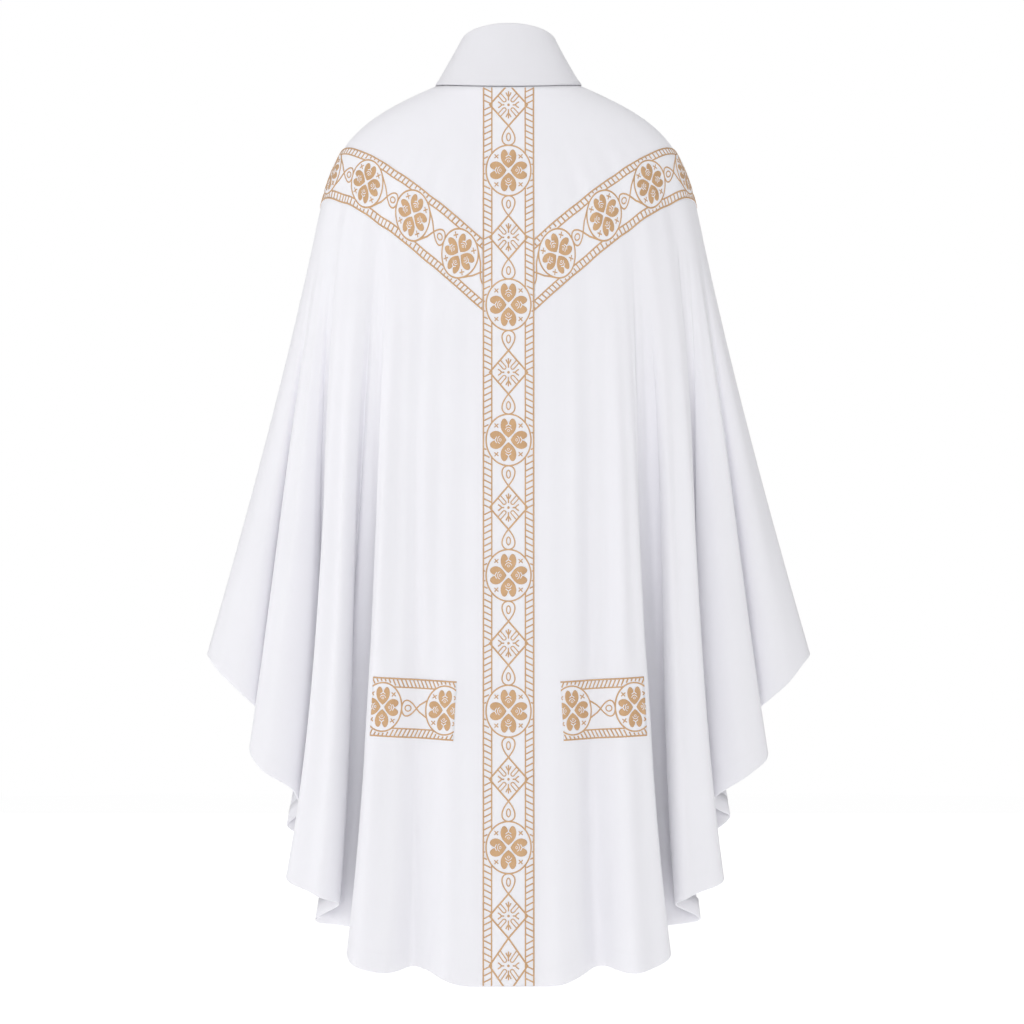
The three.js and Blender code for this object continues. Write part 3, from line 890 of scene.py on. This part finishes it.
def borders(gold, half, inner, span, ovals, size, pitch, slope):
    """Both rope borders: an outer line, an inner line that the ovals cover, and slanting strokes.

    The slope says how far a stroke runs along for each step outwards, given (edge, along).
    """
    outer = half - 0.0014
    across, reach = size
    start, end = span
    gap = reach * math.sqrt(1 - (inner / across) ** 2)
    ends = {c + towards * gap for c in ovals for towards in (-1, 1)}
    stops = sorted({start, end} | {stop for stop in ends if start < stop < end})
    for edge in (-1, 1):
        along_edge = np.linspace(start, end, max(2, int((end - start) / 0.006)))
        thread_line(gold, [(edge * outer, along) for along in along_edge])
        for a, b in zip(stops[:-1], stops[1:]):
            if b - a < 0.003 or any(abs((a + b) / 2 - c) < gap for c in ovals):
                continue
            runs = max(2, int((b - a) / 0.006))
            thread_line(gold, [(edge * inner, along) for along in np.linspace(a, b, runs)], 0.0021)
        for along in np.arange(start + 0.5 * pitch, end, pitch):
            lean = slope(edge, along)
            near = inner
            for c in ovals:
                share = abs(along - c) / (reach + 0.002)
                if share < 1:
                    near = max(near, (across + 0.002) * math.sqrt(1 - share**2))
            if near > outer - 0.0022:
                continue
            middle = (inner + outer) / 2
            tips = (near + 0.0002, outer - 0.0012)
            thread_line(gold, [(edge * tip, along + lean * (tip - middle)) for tip in tips], 0.0021)


COLUMN_FIRST = 0.026  # neck seam to the middle of the first lozenge
COLUMN_STEP = 0.096  # lozenge to roundel
LOZENGE = (0.0268, 0.0310)  # reach across and along
OVAL = (0.0318, 0.0366)
ARM_FIRST = 0.044  # edge of the column to the middle of the first roundel
ARM_STEP = 0.0885  # roundel to roundel
ARM_OVAL = (0.0300, 0.0290)
ARM_LEAN = (0.775, 3.95)  # lean of the arm's pattern at the column, and how fast it fades
ARM_UNDER = 0.045  # an arm starts this far inside the column before it is trimmed
ARM_OVER = 0.035  # and ends this far past the shoulder seam
PATCH_FIRST = 0.015  # near end to the middle of the first roundel
PATCH_OVAL = (0.0345, 0.0268)


def column_pattern(length):
    """Lozenges and roundels in turn, with a second lozenge pieced on at the hem."""
    gold, veins = bmesh.new(), bmesh.new()
    count = int((length - COLUMN_FIRST) / COLUMN_STEP) + 1
    count -= 1 - count % 2
    last = 1.25 * LOZENGE[1]
    centres = [COLUMN_FIRST + COLUMN_STEP * row for row in range(count)]
    ovals = centres[1::2]
    for row, c in enumerate(centres):
        if row % 2 == 1:
            roundel(gold, veins, (0.0, c), *OVAL)
            for towards in (-1, 1):
                apex = c + towards * (COLUMN_STEP - LOZENGE[1])
                drop(gold, apex, c + towards * OVAL[1], 0.0092, (0.0028, 0.0056))
        else:
            lozenge(gold, (0.0, c), *LOZENGE)
    joint = centres[-1] + LOZENGE[1]
    centres.append(joint + last)
    lozenge(gold, (0.0, centres[-1]), LOZENGE[0], last)
    flips = sorted([*centres, joint])

    def slope(_, along):
        return -0.5 * (-1) ** sum(along > at for at in flips)

    borders(gold, COLUMN_HALF, 0.0238, (0.0, length), ovals, OVAL, 0.0089, slope)
    return gold, veins


def tail(crossing, oval_centre, across, along, spread):
    """Two lines that open from a crossing to the sides of an oval."""
    direction = math.copysign(1, oval_centre - crossing)
    gap = abs(oval_centre - crossing)
    edge = along * math.cos(math.asin(spread))
    lines = []
    for side in (-1, 1):
        end = (side * across * spread, oval_centre - direction * edge)
        middle = (side * across * spread * 0.42, crossing + direction * 0.32 * (gap - edge))
        lines.append([(0, crossing), middle, end])
    return lines


def arm_pattern(length):
    """Roundels with a crossed drop between each two."""
    gold, veins = bmesh.new(), bmesh.new()
    centres = [ARM_FIRST + ARM_STEP * row for row in range(-1, int(length / ARM_STEP) + 1)]
    across, along = ARM_OVAL
    for c in centres:
        crossing = c - 0.040
        roundel(gold, veins, (0.0, c), across, along, tail(crossing, c, across, along, 0.8))
        drop(gold, crossing, c - ARM_STEP + along, 0.0095, (0.0036, 0.0042))
    span = (-ARM_UNDER, length)
    borders(gold, ARM_HALF, 0.0262, span, centres, ARM_OVAL, 0.0071, lambda edge, _: -0.3 * edge)
    return gold, veins


def patch_pattern(length):
    """Two roundels, each partly cut off, with a crossed drop between them."""
    gold, veins = bmesh.new(), bmesh.new()
    near, far = PATCH_FIRST, PATCH_FIRST + ARM_STEP
    across, along = PATCH_OVAL
    crossing = near + 0.041
    roundel(gold, veins, (0.0, near), across, along, tail(crossing, near, across, along, 0.36))
    roundel(gold, veins, (0.0, far), across, along)
    drop(gold, crossing, far - along, 0.0112, (0.0042, 0.0042))
    span = (0.0, length)
    borders(gold, PATCH_HALF, 0.0292, span, [near, far], PATCH_OVAL, 0.0057, lambda *_: 0.45)
    return gold, veins


def cut(bm, point, normal, fill):
    """Cuts away what lies on the side that the normal points to."""
    geometry = bm.verts[:] + bm.edges[:] + bm.faces[:]
    bmesh.ops.bisect_plane(bm, geom=geometry, plane_co=point, plane_no=normal, clear_outer=True)
    if fill:
        bmesh.ops.holes_fill(bm, edges=[edge for edge in bm.edges if edge.is_boundary])


def make_galloon(name, lay, half, start, length, pattern, cuts=()):
    """The white ground, the gold pattern and the white veins of one band, laid and trimmed."""
    trim = 0.0006  # the pattern ends this far inside the ends of the ground
    across = np.linspace(-half, half, max(8, int(half / 0.0022)) + 1)
    along = np.linspace(start, length, int((length - start) / 0.0045) + 1)
    flat = np.zeros((len(across), len(along), 3))
    flat[..., 0], flat[..., 1] = across[:, None], along[None, :]
    ground = grid_mesh(flat)
    gold, veins = pattern
    for bm in (gold, veins):
        cut(bm, (0, length - trim, 0), (0, 1, 0), True)
        cut(bm, (0, start + trim, 0), (0, -1, 0), True)
    for bm in (ground, gold, veins):
        lay_mesh(bm, lay)
        for point, normal in cuts:
            cut(bm, point, normal, bm is not ground)
    facing = FACINGS[name.split("_")[0]]
    face_outwards(ground, lambda centre: (centre.x, facing * 0.5, 0))
    width, reach = 2 * half, length - start
    area = min(sum(face.calc_area() for face in ground.faces), width * reach)
    tape = finish_mesh(name, ground, GROUND, [solid_sheet(TAPE, 1.0)])
    belongs(tape, "galloon", f"{name}_galloon")
    thread = belongs(finish_mesh(f"{name}_gold", gold, GOLD), "galloon")
    vein = belongs(finish_mesh(f"{name}_veins", veins, GROUND), "galloon")


# ---- collar, facing and tapes


def collar_surface(angle, share, inset, extra):
    """Points on the collar: share is 0 at the neck seam and 1 at the top, inset is inwards."""
    low = neck_line(angle)[2] + 0.0012
    high = COLLAR_SIDE + COLLAR_TILT * np.cos(angle)
    z = low + (high - low) * share + extra
    height = (z - low) / (high - low)
    width = NECK_WIDTH + (COLLAR_TOP_WIDTH - NECK_WIDTH) * height - inset
    depth = NECK_DEPTH + (COLLAR_TOP_DEPTH - NECK_DEPTH) * height - inset
    return np.stack([width * np.sin(angle), -depth * np.cos(angle), z], -1)


def collar_layer(profile):
    """A profile of (share, inset, extra) round the neck, slightly uneven, as mesh and points."""
    angle = np.linspace(0, 2 * math.pi, 161)[:, None]
    share, inset, extra = np.array(profile).T[:, None, :]
    free = np.sin(math.pi * np.clip(share, 0, 1))
    soft = (0.0007 * np.sin(3 * angle + 0.6) + 0.0004 * np.sin(7 * angle + 2)) * free
    points = collar_surface(angle, share, inset - soft, extra)
    return grid_mesh(points, straight_pattern(points), closed=True), points


def make_collar():
    """The collar's outer cloth, rolled over its top edge, and its lining."""
    wall = 0.0045  # the whole wall, outside to inside
    turn = np.linspace(0, math.pi, 9)
    seam = [(0, 0.0016, 0), (0, 0.0004, 0.0004), (0, -0.0006, 0.0014)]
    seam += [(0, -0.001, 0.0035), (0, -0.0006, 0.006), (0, 0, 0.0085)]
    body = [(share, 0, 0.0) for share in np.linspace(0.14, 0.93, 18)]
    roll = [(1, wall / 2 * (1 - math.cos(a)), wall / 2 * (math.sin(a) - 1)) for a in turn]
    tuck = [(1, wall, -0.008), (1, wall - 0.0008, -0.0085)]
    outer, outer_points = collar_layer(seam + body + roll + tuck)
    face_outwards(outer, lambda centre: (centre.x, centre.y, 0))
    inner_body = [(share, wall, 0.0) for share in np.linspace(0.06, 0.9, 18)]
    lining, lining_points = collar_layer([(0, wall, 0.0)] + inner_body + [(1, wall, -0.0065)])
    face_outwards(lining, lambda centre: (-centre.x, -centre.y, 0))
    for name, bm, points, node in (
        ("collar", outer, outer_points, "collar_outer"),
        ("collar_inside", lining, lining_points, "collar_lining"),
    ):
        piece = finish_mesh(name, bm, COLLAR_CLOTH_PAINTED_SHADE, [solid_sheet(0.0006, -1.0)])
        belongs(piece, "cloth", node)
        declare_cloth(piece, points)
    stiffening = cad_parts["collar_interfacing"].data.materials
    stiffening.clear()
    stiffening.append(INTERFACING)


def make_facing(inset):
    """The ring of cloth inside the neck seam."""
    u = np.linspace(0, FRONT, FRONT * 6 + 1)
    v = np.array([0.004, 0.05, 0.1, 0.15, 0.2, 0.245, 0.25])[None, :]
    halves = []
    for side in SIDES.values():
        point, _, _, outward = cloth_frame(side, *np.broadcast_arrays(u[:, None], v))
        halves.append(point - outward * inset)
    points = np.vstack([halves[1], halves[0][::-1][1:]])
    bm = grid_mesh(points, straight_pattern(points), closed=True)
    face_outwards(bm, lambda centre: (-centre.x, -centre.y, -0.2))
    piece = finish_mesh("facing", bm, FACING_CLOTH, [solid_sheet(0.0005)])
    belongs(piece, "cloth", "neck_facing")
    declare_cloth(piece, points)


def make_seam_tape(name, side, inset):
    """The tape inside a shoulder seam."""
    half_width = 0.009
    v = np.linspace(0.26, 1.97, 150)
    speed = np.linalg.norm(cloth(side, SEAM + 0.05, v) - cloth(side, SEAM - 0.05, v), axis=-1) / 0.1
    share = np.linspace(-1, 1, 9)[:, None]
    u = SEAM + share * (half_width / speed)[None, :]
    point, _, _, outward = cloth_frame(side, u, np.broadcast_to(v, u.shape))
    points = point - outward * inset
    bm = grid_mesh(points, straight_pattern(points))
    face_outwards(bm, lambda centre: (-side, 0, 0))
    piece = finish_mesh(f"{name}_seam_tape", bm, GROUND, [solid_sheet(0.0005)])
    belongs(piece, "cloth", f"{name}_shoulder_seam_tape")
    declare_cloth(piece, points)


# ---- stage


def make_stage():
    """A camera straight behind the garment, soft lamps, white surroundings and a pale floor."""
    view_width = 1.4828  # width of the view at the middle of the garment
    distance = 7.5
    camera = bpy.data.cameras.new("camera")
    camera.sensor_width = 36.0
    camera.lens = camera.sensor_width * distance / view_width
    holder = placed("camera", camera)
    holder.location = (0.005, -distance, -0.6154)
    holder.rotation_euler = (math.radians(90), 0, 0)
    bpy.context.scene.camera = holder

    aim = Vector((0, 0, -0.6))
    for name, energy, size, place in (
        ("front", 60.0, 3.0, (-0.25, -4.6, 0.5)),
        ("top", 52.0, 3.0, (0, -1.0, 3.0)),
        ("left", 48.0, 3.0, (-4.0, -0.5, -0.3)),
        ("right", 15.0, 3.0, (4.0, -0.5, -0.3)),
        ("back", 95.0, 4.0, (0, 6.0, -0.4)),
    ):
        light = bpy.data.lights.new(name, "AREA")
        light.energy = energy
        light.size = size
        thing = placed(name, light)
        thing.location = place
        thing.rotation_euler = (aim - Vector(place)).to_track_quat("-Z", "Y").to_euler()

    world = bpy.data.worlds.new("studio")
    world.use_nodes = True
    bpy.context.scene.world = world
    nodes, links = world.node_tree.nodes, world.node_tree.links
    light, seen = nodes["Background"], nodes.new("ShaderNodeBackground")
    light.inputs["Strength"].default_value = 0.3
    for backdrop in (light, seen):
        backdrop.inputs["Color"].default_value = (1, 1, 1, 1)
    paths, chooser = nodes.new("ShaderNodeLightPath"), nodes.new("ShaderNodeMixShader")
    links.new(paths.outputs["Is Camera Ray"], chooser.inputs[0])
    links.new(light.outputs[0], chooser.inputs[1])
    links.new(seen.outputs[0], chooser.inputs[2])
    links.new(chooser.outputs[0], nodes["World Output"].inputs["Surface"])

    disc = bmesh.new()
    bmesh.ops.create_circle(disc, cap_ends=True, segments=96, radius=7.0)
    bmesh.ops.translate(disc, verts=disc.verts[:], vec=(0, 0, -LENGTH - 0.12))
    paper = Finish("pale_floor", base_color=(0.25, 0.25, 0.25, 1), roughness=0.9)
    paper.shader.inputs["Emission Color"].default_value = (0.99, 0.99, 0.99, 1)
    paper.shader.inputs["Emission Strength"].default_value = 0.9
    finish_mesh("floor", disc, paper.material)
    bpy.context.scene.view_settings.view_transform = "Standard"


# ---- the garment

make_stage()
for facing_name, facing in FACINGS.items():
    for side_name, side in SIDES.items():
        make_panel(f"{facing_name}_{side_name}", side, facing)
make_collar()
make_facing(0.0035)
for side_name, side in SIDES.items():
    make_seam_tape(side_name, side, 0.0022)
for facing_name, facing in FACINGS.items():
    hem = LENGTH - (BACK_DROP if facing < 0 else FRONT_DROP + FRONT_LIFT) - HEM_GAP
    make_galloon(f"{facing_name}_column", column_lay(facing), COLUMN_HALF, 0.0, hem,
                 column_pattern(hem))
    for side_name, side in SIDES.items():
        name = f"{facing_name}_{side_name}"
        lay = arm_lay(side, facing)
        edge = ((side * (COLUMN_HALF + 0.0002), 0, 0), (-side, 0, 0))
        seam = ((0, facing * 0.0006, 0), (0, -facing, 0))
        reach = lay.length + ARM_OVER
        make_galloon(f"{name}_arm", lay, ARM_HALF, -ARM_UNDER, reach,
                     arm_pattern(reach), [edge, seam])
        make_galloon(f"{name}_patch", patch_lay(side, facing), PATCH_HALF, 0.0, PATCH_LENGTH,
                     patch_pattern(PATCH_LENGTH))
